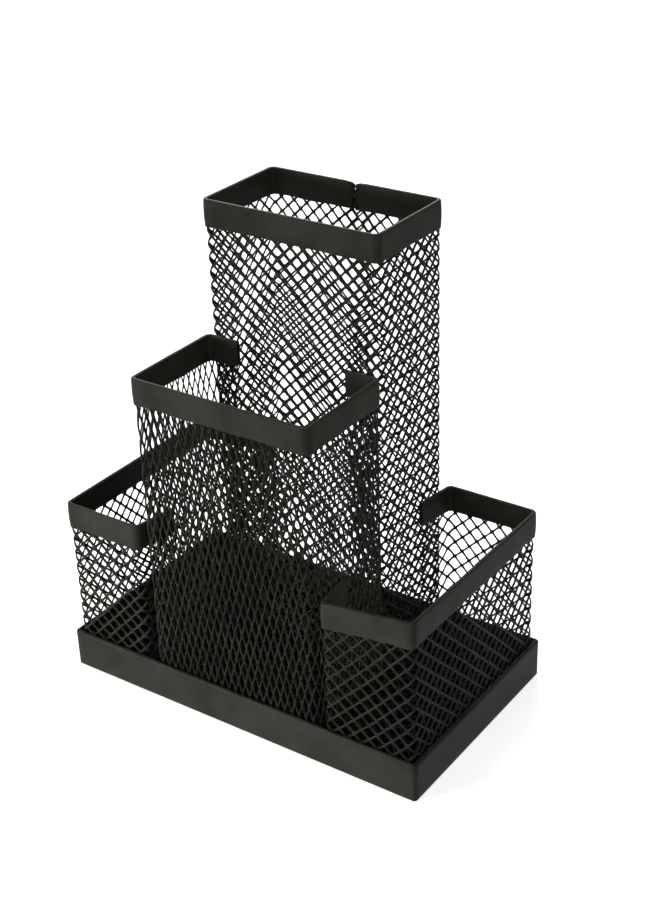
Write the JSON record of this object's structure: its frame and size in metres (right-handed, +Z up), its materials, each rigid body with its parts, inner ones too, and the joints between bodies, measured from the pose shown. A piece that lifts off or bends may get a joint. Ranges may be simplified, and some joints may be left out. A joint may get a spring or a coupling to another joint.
{
  "type": "desk organizer",
  "caption": "Expanded-metal desk organizer with a tall cup, a stepped-down middle cup and low side trays standing on one rectangular skirted base.",
  "frame": {"origin": "centre of the rectangular underside, on the surface that the organizer stands on", "axes": "+Z up; +X to the right along the long side; +Y from the middle cup in front to the tall cup at the back"},
  "size_m": [0.13, 0.0746, 0.1537],
  "materials": {
    "coated_strip": "satin black powder coat on folded steel strip",
    "coated_mesh": "satin black powder coat on expanded steel mesh",
    "foam_pad": "matt black closed-cell foam sheet"
  },
  "bodies": {
    "root": {"base_skirt": "coated_strip", "floor_mesh": "coated_mesh", "base_pad": "foam_pad", "tall_cup_mesh": "coated_mesh", "tall_cup_rim": "coated_strip", "middle_cup_mesh": "coated_mesh", "middle_cup_rim": "coated_strip", "left_tray_mesh": "coated_mesh", "left_tray_rim": "coated_strip", "right_tray_mesh": "coated_mesh", "right_tray_rim": "coated_strip"}
  },
  "joints": []
}
